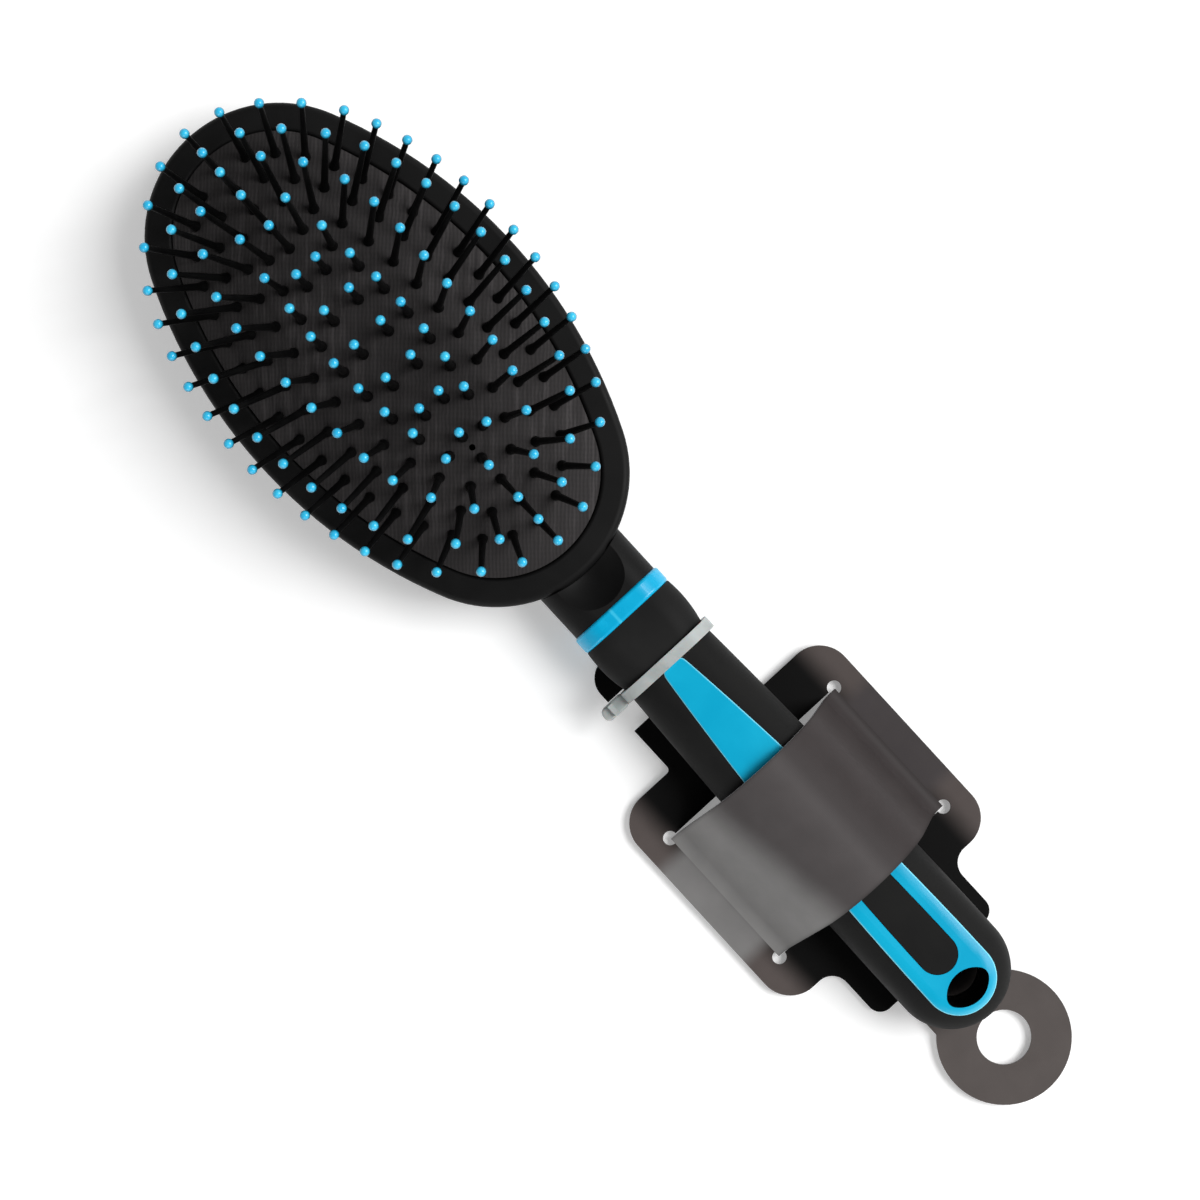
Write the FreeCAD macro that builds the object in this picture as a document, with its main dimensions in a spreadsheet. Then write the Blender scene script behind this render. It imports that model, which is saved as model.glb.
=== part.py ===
import FreeCAD, Part
import math
import operator
import os
from collections import namedtuple
from types import SimpleNamespace

import Sketcher

# A cushioned hair brush, lying on its back: +X runs from the handle to the head, +Z points to the bristles.
# The origin is where the neck ring meets the collar, at the level of the table.

# Driving dimensions in millimetres
DIMENSIONS = {
    # shared by all pieces
    "fit_gap": 0.1,
    "overrun": 2.0,
    # head shell and front rim
    "head_length": 118.4,
    "head_width": 67.8,
    "head_end_radius": 27.0,
    "shell_height": 14.2,
    "shell_wall": 2.2,
    "shell_floor": 3.0,
    "back_round": 11.0,
    "rim_width": 5.8,
    "rim_height": 2.8,
    "rim_outer_round": 1.4,
    "rim_inner_round": 0.8,
    "lip_width": 1.4,
    # neck, moulded with the shell
    "neck_length": 8.55,
    "neck_width": 21.2,
    "neck_thickness": 15.4,
    "neck_corner": 6.0,
    "neck_root": 6.0,
    "scoop_radius": 11.2,
    "scoop_sill": 0.3,
    # neck ring and collar
    "ring_length": 3.8,
    "ring_width": 22.2,
    "ring_thickness": 16.4,
    "ring_corner": 6.4,
    "ring_round": 0.7,
    "collar_length": 10.5,
    "collar_front_width": 22.0,
    "collar_front_thickness": 15.6,
    "collar_back_width": 20.9,
    "collar_back_thickness": 15.0,
    "collar_swell": 0.5,
    "collar_corner": 6.2,
    # handle: core, tang, grip and inlay
    "tang_width": 12.0,
    "tang_thickness": 8.0,
    "tang_corner": 1.5,
    "tang_depth": 10.0,
    "handle_length": 98.65,
    "handle_front_width": 20.6,
    "handle_end_width": 24.6,
    "handle_thickness": 16.2,
    "handle_crown": 1.2,
    "handle_corner": 6.8,
    "grip_wall": 2.2,
    "inlay_proud": 0.15,
    "inlay_round": 0.35,
    "inlay_tip_margin": 1.3,
    "inlay_tip_width": 5.6,
    "inlay_end_margin": 3.3,
    "inlay_end_width": 15.2,
    "island_end_margin": 10.1,
    "island_length": 43.0,
    "island_end_width": 8.4,
    "island_tip_width": 6.4,
    "island_depth": 1.6,
    "eye_margin": 8.5,
    "eye_length": 10.1,
    "eye_width": 7.0,
    "eye_end_radius": 2.0,
    # cushion
    "flange_thickness": 1.6,
    "membrane": 1.6,
    "dome_height": 8.6,
    "vent_radius": 0.65,
    # pins and their ball tips
    "pin_gap": 0.12,
    "pin_length": 17.5,
    "pin_foot_gap": 0.35,
    "pin_foot_radius": 1.5,
    "pin_foot_thickness": 0.8,
    "pin_neck_radius": 0.75,
    "pin_root_radius": 1.1,
    "pin_root_length": 2.0,
    "pin_shaft_radius": 0.76,
    "pin_end_radius": 0.55,
    "ball_radius": 1.0,
    "field_end_margin": 6.2,
    "field_side_margin": 3.9,
    "field_shift": 1.9,
    "field_core_length": 50.4,
    "field_core_width": 6.8,
    # hang card
    "card_thickness": 0.6,
    "card_shift": 1.4,
    "card_body_margin": 18.95,
    "card_body_length": 52.9,
    "card_body_width": 58.0,
    "card_body_corner": 7.0,
    "card_foot_length": 14.0,
    "card_foot_width": 32.6,
    "card_foot_corner": 3.0,
    "foot_shoulder": 4.0,
    "tab_margin": 7.6,
    "tab_radius": 14.0,
    "tab_neck_width": 20.0,
    "tab_hole_radius": 5.7,
    "tongue_reach": 7.35,
    "tongue_width": 24.7,
    "tongue_shift": 1.15,
    "tongue_corner": 5.0,
    "tongue_shoulder": 1.0,
    "notch_length": 8.0,
    "notch_waist": 7.0,
    "slit_margin": 10.3,
    "slit_gap": 0.5,
    "slit_hole_radius": 1.5,
    "band_width": 33.4,
    "band_reach": 23.0,
    "band_foot_radius": 4.0,
    "band_arch_radius": 16.0,
    "band_gap": 0.2,
    # cable tie
    "tie_width": 2.45,
    "tie_thickness": 1.05,
    "tie_gap": 0.35,
    "tie_corner": 5.0,
    "tie_head_length": 6.2,
    "tie_head_width": 3.0,
    "tie_head_height": 4.4,
    "tie_head_corner": 1.3,
    "tie_head_round": 0.5,
    "tie_tail_length": 1.2,
}

# Pins in each oval ring, outermost first
PIN_COUNTS = (38, 32, 26, 20, 12)

# Where the dome's flat crown ends and its straight flank begins, as shares of the way to its edge
CROWN_SHARE = 0.42
FLANK_SHARE = 0.65

# Where the flank and the shoulder above it are measured
DOME_SHARES = [(1.0, FLANK_SHARE), (FLANK_SHARE, 0.59, 0.53, 0.47, CROWN_SHARE)]

# How far along the collar it swells most, as a share of its length from the ring
COLLAR_SWELL_SHARE = 0.35

# Edges and corners that are this close, in millimetres, are the same
CLOSE = 0.01

UP = FreeCAD.Vector(0, 0, 1)
SIGNS = {"+": operator.add, "-": operator.sub, "*": operator.mul, "/": operator.truediv}

# One corner of a sketch, with the radius of the arc to the next corner, which bends inward where it is hollow
Corner = namedtuple("Corner", "x y radius hollow", defaults=(None, False))


class Size:
    # A length, with its number and the formula that gives it from the sheet

    def __init__(self, number, formula):
        self.number = number
        self.formula = formula

    def __add__(self, other):
        return joined(self, "+", other)

    def __sub__(self, other):
        return joined(self, "-", other)

    def __mul__(self, other):
        return joined(self, "*", other)

    def __truediv__(self, other):
        return joined(self, "/", other)

    def __neg__(self):
        return Size(-self.number, f"(-{self.formula})")


def joined(first, sign, second):
    if not isinstance(second, Size):
        second = Size(second, str(second))
    number = SIGNS[sign](first.number, second.number)
    return Size(number, f"({first.formula} {sign} {second.formula})")


def root(size):
    return Size(math.sqrt(size.number), f"sqrt({size.formula})")


ZERO = Size(0, "0")


def read_sheet():
    sheet = doc.addObject("Spreadsheet::Sheet", "dims")
    for row, (name, number) in enumerate(DIMENSIONS.items(), start=1):
        sheet.set(f"A{row}", name)
        sheet.set(f"B{row}", str(number))
        sheet.setAlias(f"B{row}", name)
    doc.recompute()
    sizes = {name: Size(sheet.get(name), f"dims.{name}") for name in DIMENSIONS}
    return SimpleNamespace(**sizes)


def bind(target, name, size):
    target.setExpression(name, size.formula)


# Sketches


def sketch_on(body, role, place=(ZERO, ZERO, ZERO), turn=0):
    sketch = body.newObject("Sketcher::SketchObject", "sketch")
    plane = next(item for item in body.Origin.OriginFeatures if item.Role == role)
    sketch.AttachmentSupport = [(plane, "")]
    sketch.MapMode = "FlatFace"
    sketch.AttachmentOffset = FreeCAD.Placement(FreeCAD.Vector(), FreeCAD.Rotation(UP, turn))
    for axis, size in zip("xyz", place):
        if size is not ZERO:
            bind(sketch, f"AttachmentOffset.Base.{axis}", size)
    return sketch


def arc_between(first, second, radius):
    # The shorter arc that turns left on its way from the first point to the second
    chord = second - first
    height = math.sqrt(radius * radius - chord.Length * chord.Length / 4)
    centre = (first + second) / 2 + UP.cross(chord).normalize() * height
    start, end = [math.atan2(point.y - centre.y, point.x - centre.x) for point in (first, second)]
    return Part.ArcOfCircle(Part.Circle(centre, UP, radius), start, end)


def place_point(piece, end, x, y):
    # Constraints that hold one point of a sketch, each with the size that drives it
    held = []
    for kind, axis, size in (("DistanceX", -2, x), ("DistanceY", -1, y)):
        if size is ZERO:
            held.append((Sketcher.Constraint("PointOnObject", piece, end, axis), None))
        else:
            held.append((Sketcher.Constraint(kind, -1, 1, piece, end, size.number), size))
    return held


def hold(sketch, held):
    numbers = sketch.addConstraint([constraint for constraint, size in held])
    for number, (constraint, size) in zip(numbers, held):
        if size is not None:
            bind(sketch, f"Constraints[{number}]", size)


def outline(sketch, corners, closed=True):
    runs = len(corners) if closed else len(corners) - 1
    points = [FreeCAD.Vector(corner.x.number, corner.y.number, 0) for corner in corners]
    held = []
    ends = []
    for index in range(runs):
        first, second = points[index], points[(index + 1) % len(points)]
        radius = corners[index].radius
        if radius is None:
            piece = sketch.addGeometry(Part.LineSegment(first, second))
            ends.append((piece, 1, 2))
            continue
        if corners[index].hollow:
            piece = sketch.addGeometry(arc_between(second, first, radius.number))
            ends.append((piece, 2, 1))
        else:
            piece = sketch.addGeometry(arc_between(first, second, radius.number))
            ends.append((piece, 1, 2))
        held.append((Sketcher.Constraint("Radius", piece, radius.number), radius))
    for index, (piece, start, end) in enumerate(ends):
        held += place_point(piece, start, corners[index].x, corners[index].y)
        if closed or index + 1 < runs:
            follower, follower_start, follower_end = ends[(index + 1) % runs]
            held.append((Sketcher.Constraint("Coincident", piece, end, follower, follower_start), None))
        else:
            held += place_point(piece, end, corners[-1].x, corners[-1].y)
    hold(sketch, held)
    return sketch


def circle(sketch, x, y, radius):
    centre = FreeCAD.Vector(x.number, y.number, 0)
    piece = sketch.addGeometry(Part.Circle(centre, UP, radius.number))
    held = [(Sketcher.Constraint("Radius", piece, radius.number), radius)]
    hold(sketch, held + place_point(piece, 3, x, y))
    return sketch


def oval(half_length, half_width, end_radius):
    # Four arcs that meet smoothly: two tight ends and two long sides
    end_centre = half_length - end_radius
    squares = half_length * half_length + half_width * half_width
    side_radius = (squares - half_length * end_radius * 2) / ((half_width - end_radius) * 2)
    side_centre = side_radius - half_width
    reach = root(end_centre * end_centre + side_centre * side_centre)
    x = end_centre + end_radius * end_centre / reach
    y = end_radius * side_centre / reach
    return [
        Corner(x, -y, end_radius),
        Corner(x, y, side_radius),
        Corner(-x, y, end_radius),
        Corner(-x, -y, side_radius),
    ]


def drop(end, tip, end_half, tip_half):
    # A long drop on the X axis, with a wide round end, a narrow round tip and bowed sides
    end_centre = end + end_half
    tip_centre = tip - tip_half
    run = tip_centre - end_centre
    squares = run * run + end_half * end_half - tip_half * tip_half
    side_radius = squares / ((end_half - tip_half) * 2)
    tip_x = tip_centre + tip_half * run / (side_radius - tip_half)
    tip_y = tip_half * (side_radius - end_half) / (side_radius - tip_half)
    return [
        Corner(end, ZERO, end_half),
        Corner(end_centre, -end_half, side_radius),
        Corner(tip_x, -tip_y, tip_half),
        Corner(tip, ZERO, tip_half),
        Corner(tip_x, tip_y, side_radius),
        Corner(end_centre, end_half, end_half),
    ]


def rectangle(low_x, high_x, low_y, high_y):
    return [Corner(low_x, low_y), Corner(high_x, low_y), Corner(high_x, high_y), Corner(low_x, high_y)]


def rounded(low_x, high_x, low_y, high_y, corner):
    return [
        Corner(low_x + corner, low_y),
        Corner(high_x - corner, low_y, corner),
        Corner(high_x, low_y + corner),
        Corner(high_x, high_y - corner, corner),
        Corner(high_x - corner, high_y),
        Corner(low_x + corner, high_y, corner),
        Corner(low_x, high_y - corner),
        Corner(low_x, low_y + corner, corner),
    ]


def section(width, thickness, corner):
    # A rounded cross-section about the axis of neck and handle
    return rounded(-width / 2, width / 2, -thickness / 2, thickness / 2, corner)


# Features


def new_body(label):
    body = doc.addObject("PartDesign::Body", label)
    body.Label = label
    return body


def pad(body, sketch, length, symmetric=False, downwards=False):
    feature = body.newObject("PartDesign::Pad", "pad")
    feature.Profile = sketch
    feature.SideType = "Symmetric" if symmetric else "One side"
    feature.Reversed = downwards
    bind(feature, "Length", length)
    doc.recompute()


def pocket(body, sketch, depth, symmetric=False, upwards=False):
    before = body.Shape.Volume
    feature = body.newObject("PartDesign::Pocket", "pocket")
    feature.Profile = sketch
    feature.SideType = "Symmetric" if symmetric else "One side"
    feature.Reversed = upwards
    bind(feature, "Length", depth)
    doc.recompute()
    if body.Shape.Volume >= before:
        raise ValueError(f"a pocket in {body.Label} cuts nothing")


def loft(body, kind, sketches):
    feature = body.newObject(f"PartDesign::{kind}", "loft")
    feature.Profile = sketches[0]
    feature.Sections = sketches[1:]
    doc.recompute()


def revolve(body, kind, sketch):
    # A full turn about the sketch's upright axis
    feature = body.newObject(f"PartDesign::{kind}", "revolve")
    feature.Profile = sketch
    feature.ReferenceAxis = (sketch, ["V_Axis"])
    doc.recompute()


def fillet(body, radius, chosen):
    base = body.Tip
    names = [f"Edge{number}" for number, edge in enumerate(base.Shape.Edges, start=1) if chosen(edge)]
    feature = body.newObject("PartDesign::Fillet", "fillet")
    feature.Base = (base, names)
    bind(feature, "Radius", radius)
    doc.recompute()


def lies_at(edge, height):
    box = edge.BoundBox
    return abs(box.ZMin - height.number) < CLOSE and abs(box.ZMax - height.number) < CLOSE


def stands_at(edge, x, y):
    box = edge.BoundBox
    thin = box.XLength < CLOSE and box.YLength < CLOSE
    return thin and math.hypot(box.Center.x - x.number, box.Center.y - y.number) < CLOSE


def cut(label, base, tool):
    feature = doc.addObject("Part::Cut", label)
    feature.Base = base
    feature.Tool = tool
    return feature


def common(label, base, tool):
    feature = doc.addObject("Part::Common", label)
    feature.Base = base
    feature.Tool = tool
    return feature


def fuse(label, shapes):
    feature = doc.addObject("Part::MultiFuse", label)
    feature.Shapes = shapes
    return feature


def soften(label, base, radius):
    # Rounds the edges round the top face of an upright piece of the handle
    doc.recompute()
    feature = doc.addObject("Part::Fillet", label)
    feature.Base = base
    low = axis_height.number + CLOSE
    numbers = [number for number, edge in enumerate(base.Shape.Edges, start=1) if edge.BoundBox.ZMin > low]
    feature.Edges = [(number, radius.number, radius.number) for number in numbers]
    return feature


# Head


def head_oval(body, inset, height):
    # The head's own oval, drawn in by the inset all round
    sketch = sketch_on(body, "XY_Plane", (head_centre, ZERO, height))
    return add_head_oval(sketch, inset)


def add_head_oval(sketch, inset):
    half_length = dim.head_length / 2 - inset
    half_width = dim.head_width / 2 - inset
    return outline(sketch, oval(half_length, half_width, dim.head_end_radius - inset))


def cross_section(body, x, *outlines):
    sketch = sketch_on(body, "YZ_Plane", (ZERO, axis_height, x))
    for corners in outlines:
        outline(sketch, corners)
    return sketch


def make_head_shell():
    body = new_body("head_shell")
    pad(body, head_oval(body, ZERO, ZERO), dim.shell_height)
    fillet(body, dim.back_round, lambda edge: lies_at(edge, ZERO))
    neck = section(dim.neck_width, dim.neck_thickness, dim.neck_corner)
    pad(body, cross_section(body, dim.ring_length, neck), dim.neck_length + dim.neck_root)
    # seat of the rim on the neck's root, and a round thumb scoop in front of it
    high = axis_height + dim.neck_thickness / 2 + dim.overrun
    pocket(body, head_oval(body, -dim.fit_gap, high), high - dim.shell_height)
    low = dim.shell_height + dim.scoop_sill
    drop_to_centre = low + dim.scoop_radius - high
    scoop_half = root(dim.scoop_radius * dim.scoop_radius - drop_to_centre * drop_to_centre)
    scoop = [Corner(ZERO, low, dim.scoop_radius), Corner(scoop_half, high), Corner(ZERO, high)]
    revolve(body, "Groove", outline(sketch_on(body, "XZ_Plane", (head_start, ZERO, ZERO)), scoop))
    # recess for the cushion's flange, air space, and the socket of the tang
    pocket(body, head_oval(body, dim.shell_wall, dim.shell_height), dim.flange_thickness + dim.fit_gap)
    cavity = head_oval(body, dim.rim_width + dim.membrane, dim.shell_height)
    pocket(body, cavity, dim.shell_height - dim.shell_floor)
    pocket(body, cross_section(body, dim.ring_length, bore), dim.tang_depth + dim.fit_gap, upwards=True)
    return body


def make_front_rim():
    body = new_body("front_rim")
    ring = add_head_oval(head_oval(body, ZERO, dim.shell_height), dim.rim_width)
    pad(body, ring, dim.rim_height)
    # lip that goes down round the cushion's flange
    lip = add_head_oval(head_oval(body, lip_inset, dim.shell_height), lip_inset + dim.lip_width)
    pad(body, lip, dim.flange_thickness, downwards=True)
    fillet(body, dim.rim_outer_round, lambda edge: lies_at(edge, rim_top) and not on_opening(edge))
    fillet(body, dim.rim_inner_round, lambda edge: lies_at(edge, rim_top) and on_opening(edge))
    return body


def spread(edge):
    # How far an edge reaches sideways from the brush's middle plane
    return max(abs(edge.BoundBox.YMin), abs(edge.BoundBox.YMax))


def on_opening(edge):
    # True for the edges of the rim's opening: no point of them lies outside the opening's box
    half_length = dim.head_length.number / 2 - dim.rim_width.number
    half_width = dim.head_width.number / 2 - dim.rim_width.number
    box = edge.BoundBox
    low, high = head_centre.number - half_length, head_centre.number + half_length
    return box.XMin > low - CLOSE and box.XMax < high + CLOSE and spread(edge) < half_width + CLOSE


# Cushion and pins


def dome_fall(share):
    # What is left of the dome's height at a share of the way to its edge, and how steeply it falls there
    blend = FLANK_SHARE - CROWN_SHARE
    steepest = 1 / (1 - FLANK_SHARE + blend / 2)
    if share > FLANK_SHARE:
        return steepest * (1 - share), steepest
    turned = max(share - CROWN_SHARE, 0) / blend
    return 1 - steepest * blend * turned * turned / 2, steepest * turned


def dome_oval(body, thickness, share):
    # One level line of the dome, or of its underside, drawn in by the thickness
    inset = dim.rim_width + dim.fit_gap + thickness
    half_length = (dim.head_length / 2 - inset) * share
    half_width = (dim.head_width / 2 - inset) * share
    end_radius = (dim.head_end_radius - inset) * share
    left, fall = dome_fall(share)
    height = rim_top + (dim.dome_height - thickness) * left
    sketch = sketch_on(body, "XY_Plane", (head_centre, ZERO, height))
    return outline(sketch, oval(half_length, half_width, end_radius))


def make_cushion_blank():
    body = new_body("cushion_blank")
    flange_low = dim.shell_height - dim.flange_thickness
    flange = head_oval(body, lip_inset + dim.lip_width + dim.fit_gap, flange_low)
    pad(body, flange, dim.flange_thickness - dim.fit_gap)
    opening = dim.rim_width + dim.fit_gap
    pad(body, head_oval(body, opening, flange_low), rim_top - flange_low)
    for shares in DOME_SHARES:
        loft(body, "AdditiveLoft", [dome_oval(body, ZERO, share) for share in shares])
    for shares in DOME_SHARES:
        loft(body, "SubtractiveLoft", [dome_oval(body, dim.membrane, share) for share in shares])
    inside = head_oval(body, opening + dim.membrane, flange_low)
    pocket(body, inside, rim_top - flange_low, upwards=True)
    return body


def dome_place(x, y):
    # Where a pin stands on the dome, at x and y from the head's centre, square to the rubber
    inset = dim.rim_width + dim.fit_gap
    half_length = (dim.head_length / 2 - inset).number
    half_width = (dim.head_width / 2 - inset).number
    end_radius = (dim.head_end_radius - inset).number
    corner = oval(dim.head_length / 2 - inset, dim.head_width / 2 - inset, dim.head_end_radius - inset)[1]
    side_radius = corner.radius.number
    point = FreeCAD.Vector(x, y, 0)
    # the arc of the rim that lies beyond the pin, seen from the centre
    if abs(y) * corner.x.number < abs(x) * corner.y.number:
        centre = FreeCAD.Vector(math.copysign(half_length - end_radius, x), 0, 0)
        radius = end_radius
    else:
        centre = FreeCAD.Vector(0, -math.copysign(side_radius - half_width, y), 0)
        radius = side_radius
    along = point.dot(centre)
    square = point.dot(point)
    times = (along + math.sqrt(along * along + square * (radius * radius - centre.dot(centre)))) / square
    outward = (point * times - centre) / radius
    left, fall = dome_fall(1 / times)
    slope = fall * dim.dome_height.number / outward.dot(point * times)
    height = rim_top.number + dim.dome_height.number * left
    foot = FreeCAD.Vector(head_centre.number + x, y, height)
    return FreeCAD.Placement(foot, FreeCAD.Rotation(UP, outward * slope + UP))


def ring_halves(ring):
    # Half length and half width of one ring of pins: even steps from the outermost to the core
    inward = ring / (len(PIN_COUNTS) - 1)
    half_length = dim.head_length / 2 - dim.rim_width - dim.field_end_margin
    half_width = dim.head_width / 2 - dim.rim_width - dim.field_side_margin
    length_step = (half_length - dim.field_core_length / 2) * inward
    width_step = (half_width - dim.field_core_width / 2) * inward
    return (half_length - length_step).number, (half_width - width_step).number


def ring_places(ring):
    # Equal steps round one oval ring of pins, from the tip of the brush
    half_length, half_width = ring_halves(ring)
    centre = FreeCAD.Vector(dim.field_shift.number, 0, 0)
    path = Part.Ellipse(centre, half_length, half_width).toShape()
    points = path.discretize(Number=PIN_COUNTS[ring] + 1)[:-1]
    return [dome_place(point.x, point.y) for point in points]


def make_pin_blank():
    body = new_body("pin_blank")
    foot_top = -(dim.membrane + dim.pin_foot_gap)
    root_top = dim.pin_gap + dim.pin_root_length
    profile = [
        Corner(ZERO, foot_top - dim.pin_foot_thickness),
        Corner(dim.pin_foot_radius, foot_top - dim.pin_foot_thickness),
        Corner(dim.pin_foot_radius, foot_top),
        Corner(dim.pin_neck_radius, foot_top),
        Corner(dim.pin_neck_radius, dim.pin_gap),
        Corner(dim.pin_root_radius, dim.pin_gap),
        Corner(dim.pin_shaft_radius, root_top),
        Corner(dim.pin_end_radius, dim.pin_length),
        Corner(ZERO, dim.pin_length),
    ]
    revolve(body, "Revolution", outline(sketch_on(body, "XZ_Plane"), profile))
    return body


def make_ball_blank():
    # A ball that is cut flat where it sits on the end of its pin
    ball = doc.addObject("Part::Sphere", "ball_blank")
    bind(ball, "Radius", dim.ball_radius)
    ball.setExpression("Angle1", f"-acos({(dim.pin_end_radius / dim.ball_radius).formula})")
    seat = root(dim.ball_radius * dim.ball_radius - dim.pin_end_radius * dim.pin_end_radius)
    bind(ball, "Placement.Base.z", dim.pin_length + seat)
    doc.recompute()
    return ball


def copies(label, blank, places):
    group = doc.addObject("Part::Feature", label)
    shapes = []
    for place in places:
        shape = blank.Shape.copy()
        shape.Placement = place.multiply(shape.Placement)
        shapes.append(shape)
    group.Shape = Part.makeCompound(shapes)
    group.Placement = FreeCAD.Placement()
    return group


def make_cushion_and_pins():
    pin = make_pin_blank()
    ball = make_ball_blank()
    parts = []
    drills = []
    for ring in range(len(PIN_COUNTS)):
        places = ring_places(ring)
        parts.append(copies(f"pins_ring_{ring + 1}", pin, places))
        parts.append(copies(f"pin_tips_ring_{ring + 1}", ball, places))
        drills += [drill(place, dim.pin_neck_radius + dim.pin_gap) for place in places]
    # vent between the two innermost rings, on the neck's side
    inner_lengths = [ring_halves(ring)[0] for ring in range(len(PIN_COUNTS))[-2:]]
    vent_x = dim.field_shift.number - sum(inner_lengths) / len(inner_lengths)
    drills.append(drill(dome_place(vent_x, 0), dim.vent_radius))
    holes = doc.addObject("Part::Feature", "pin_holes")
    holes.Shape = Part.makeCompound(drills)
    holes.Placement = FreeCAD.Placement()
    return [cut("cushion", make_cushion_blank(), holes)] + parts


def drill(place, radius):
    depth = dim.membrane.number + dim.overrun.number
    start = place.multVec(UP * -depth)
    direction = place.Rotation.multVec(UP)
    return Part.makeCylinder(radius.number, depth + dim.overrun.number, start, direction)


# Neck ring, collar and handle


def make_neck_ring():
    body = new_body("neck_ring")
    band = section(dim.ring_width, dim.ring_thickness, dim.ring_corner)
    pad(body, cross_section(body, ZERO, band, bore), dim.ring_length)
    fillet(body, dim.ring_round, lambda edge: edge.BoundBox.XLength < CLOSE and not in_bore(edge))
    return body


def in_bore(edge):
    centre = edge.CenterOfMass
    half_width = dim.tang_width.number / 2 + dim.fit_gap.number + CLOSE
    half_height = dim.tang_thickness.number / 2 + dim.fit_gap.number + CLOSE
    return abs(centre.y) < half_width and abs(centre.z - axis_height.number) < half_height


def make_neck_collar():
    body = new_body("neck_collar")
    swell_width = dim.collar_front_width + dim.collar_swell
    swell_thickness = dim.collar_front_thickness + dim.collar_swell
    swell_x = -dim.collar_length * COLLAR_SWELL_SHARE
    stations = [
        (-dim.collar_length, dim.collar_back_width, dim.collar_back_thickness),
        (swell_x, swell_width, swell_thickness),
        (ZERO, dim.collar_front_width, dim.collar_front_thickness),
    ]
    bands = [(x, section(wide, thick, dim.collar_corner)) for x, wide, thick in stations]
    loft(body, "AdditiveLoft", [cross_section(body, x, band) for x, band in bands])
    pocket(body, cross_section(body, ZERO, bore), dim.collar_length)
    return body


def make_handle_form(label, grow):
    # The handle's outer form, grown all round: plan, crowned top and rounded edges
    body = new_body(label)
    end_half = dim.handle_end_width / 2 + grow
    front_half = dim.handle_front_width / 2 + grow
    end_centre = handle_end + dim.handle_end_width / 2
    run = handle_front - end_centre
    taper = end_half - front_half
    side_radius = (run * run + taper * taper) / (taper * 2)
    plan = [
        Corner(end_centre - end_half, ZERO, end_half),
        Corner(end_centre, -end_half, side_radius),
        Corner(handle_front, -front_half),
        Corner(handle_front, front_half, side_radius),
        Corner(end_centre, end_half, end_half),
    ]
    low = handle_bottom - grow
    pad(body, outline(sketch_on(body, "XY_Plane", (ZERO, ZERO, low)), plan), dim.handle_thickness + grow * 2)
    # crown of the top
    half = dim.handle_length / 2
    squares = half * half + dim.handle_crown * dim.handle_crown
    crown_radius = squares / (dim.handle_crown * 2)
    past = half + dim.overrun
    top = handle_top + grow
    low_side = top - crown_radius + root(crown_radius * crown_radius - past * past)
    middle = (handle_front + handle_end) / 2
    crown = [
        Corner(middle - past, low_side, crown_radius, True),
        Corner(middle + past, low_side),
        Corner(middle + past, top + dim.overrun),
        Corner(middle - past, top + dim.overrun),
    ]
    across = (dim.handle_end_width + dim.overrun) * 2
    pocket(body, outline(sketch_on(body, "XZ_Plane"), crown), across, symmetric=True)
    fillet(body, dim.handle_corner + grow, lambda edge: edge.BoundBox.XLength > CLOSE)
    return body


def make_prism(label, corners, low, place_x=ZERO, turn=0):
    # An upright prism from the given level to above the handle
    body = new_body(label)
    sketch = sketch_on(body, "XY_Plane", (place_x, ZERO, low), turn)
    pad(body, outline(sketch, corners), handle_top - low + dim.overrun)
    return body


def make_tang():
    body = new_body("tang")
    bar = section(dim.tang_width, dim.tang_thickness, dim.tang_corner)
    length = dim.collar_length + dim.ring_length + dim.tang_depth + dim.overrun
    pad(body, cross_section(body, handle_front - dim.overrun, bar), length)
    return body


def make_handle():
    outer = make_handle_form("grip_form", ZERO)
    inner = make_handle_form("core_form", -dim.grip_wall)
    face = make_handle_form("inlay_form", dim.inlay_proud)
    inlay_end = handle_end + dim.inlay_end_margin
    inlay_tip = handle_front - dim.inlay_tip_margin
    inlay = drop(inlay_end, inlay_tip, dim.inlay_end_width / 2, dim.inlay_tip_width / 2)
    strip = make_prism("inlay_prism", inlay, axis_height)
    island_end = inlay_end + dim.island_end_margin
    island_tip = island_end + dim.island_length
    end_half = dim.island_end_width / 2
    tip_half = dim.island_tip_width / 2
    floor = handle_top - dim.handle_crown - dim.island_depth
    well = make_prism("island_well", drop(island_end, island_tip, end_half, tip_half), floor)
    gap = dim.fit_gap
    fill = drop(island_end + gap, island_tip - gap, end_half - gap, tip_half - gap)
    plug = make_prism("island_plug", fill, floor)
    eye = oval(dim.eye_length / 2, dim.eye_width / 2, dim.eye_end_radius)
    quarter_turn = 90
    hole = make_prism("eye_hole", eye, ZERO, handle_end + dim.eye_margin, quarter_turn)
    raised = soften("inlay", common("inlay_blank", face, strip), dim.inlay_round)
    blank = fuse("core_blank", [inner, raised, make_tang()])
    core = cut("handle_core", blank, fuse("core_cuts", [well, hole]))
    sleeve = cut("grip_sleeve", outer, fuse("sleeve_cuts", [inner, strip, hole]))
    island = common("grip_island", face, plug)
    return [core, sleeve, island]


# Hang card and cable tie


def card_sketch(body, corners):
    return outline(sketch_on(body, "XY_Plane", (ZERO, dim.card_shift, card_bottom)), corners)


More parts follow.
